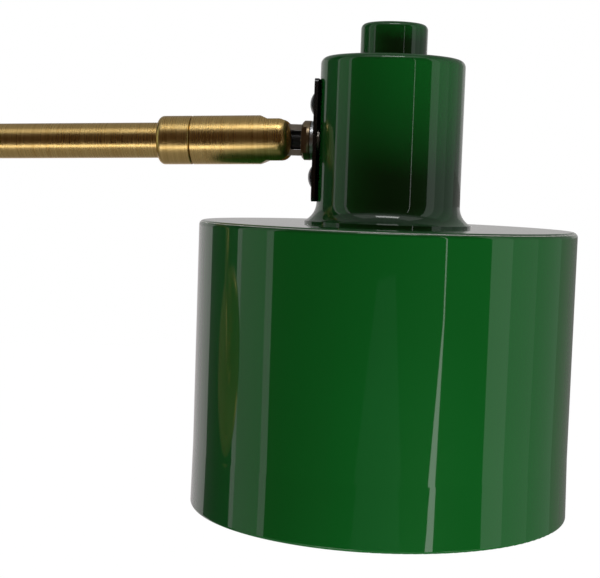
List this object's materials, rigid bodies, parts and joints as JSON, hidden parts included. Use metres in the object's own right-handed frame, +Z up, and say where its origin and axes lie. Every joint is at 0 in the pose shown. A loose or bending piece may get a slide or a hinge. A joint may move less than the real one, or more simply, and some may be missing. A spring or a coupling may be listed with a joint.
{
  "type": "gooseneck wall sconce",
  "caption": "Wall sconce: round canopy, swan-neck brass arm and a twist-and-tilt knuckle that carries a two-tier drum shade with a screw-in bulb.",
  "frame": {"origin": "centre of the mounting bar's back face, on the wall", "axes": "+X out of the wall along the arm, +Z up, +Y to the left when facing along +X"},
  "size_m": [0.4117, 0.151, 0.2105],
  "materials": {
    "green_lacquer": "high gloss dark green lacquer",
    "satin_brass": "brushed, clear lacquered",
    "nickel_plate": "nickel plated, satin",
    "black_enamel": "glossy black",
    "zinc_steel": "zinc plated",
    "terminal_plastic": "natural nylon",
    "washer_plastic": "waxy",
    "cable_sheath": "satin black sheath",
    "core_sheath": "smooth insulation",
    "holder_plastic": "black phenolic",
    "plain_brass": "turned",
    "opal_glass": "opal",
    "bulb_metal": "rolled",
    "bulb_black": "black glass"
  },
  "bodies": {
    "wall_arm": {"wall_bar": "zinc_steel", "bar_studs": "zinc_steel", "earth_screw": "zinc_steel", "terminal_block": "terminal_plastic", "terminal_screws": "plain_brass", "canopy": "satin_brass", "canopy_nuts": "satin_brass", "arm_boss": "satin_brass", "toothed_washer": "zinc_steel", "boss_nut": "zinc_steel", "arm_tube": "satin_brass", "arm_cable": "cable_sheath", "supply_cores": "core_sheath", "swivel_collar": "satin_brass"},
    "knuckle": {"knuckle_fork": "satin_brass", "stop_pin": "zinc_steel", "ring_nut": "zinc_steel", "spring_washer": "zinc_steel", "pivot_screw": "satin_brass", "friction_washers": "washer_plastic", "knuckle_cable": "cable_sheath"},
    "head": {"tongue": "nickel_plate", "head_cable": "cable_sheath", "head_cores": "core_sheath", "tongue_nut": "satin_brass", "strap_washer": "zinc_steel", "neck_strap": "black_enamel", "inner_strap": "zinc_steel", "strap_screws": "black_enamel", "strap_nuts": "zinc_steel", "stud_nut": "zinc_steel", "neck_cup": "green_lacquer", "top_cap": "green_lacquer", "top_nipple": "zinc_steel", "nipple_nuts": "zinc_steel", "holder_cap": "holder_plastic", "holder_body": "holder_plastic", "screw_shell": "plain_brass", "centre_contact": "plain_brass", "shade_ring": "holder_plastic", "shade": "green_lacquer", "bulb_globe": "opal_glass", "bulb_cap": "bulb_metal", "bulb_insulator": "bulb_black", "bulb_tip": "bulb_metal"}
  },
  "joints": [
    {"name": "knuckle_turn", "type": "hinge", "parent": "wall_arm", "child": "knuckle", "pos_m": [0.294, 0, 0.11], "axis": [1, 0, 0], "range_deg": [-165, 165]},
    {"name": "head_tilt", "type": "hinge", "parent": "knuckle", "child": "head", "pos_m": [0.294, 0, 0.11], "axis": [0, -1, 0], "range_deg": [-28, 75]}
  ]
}
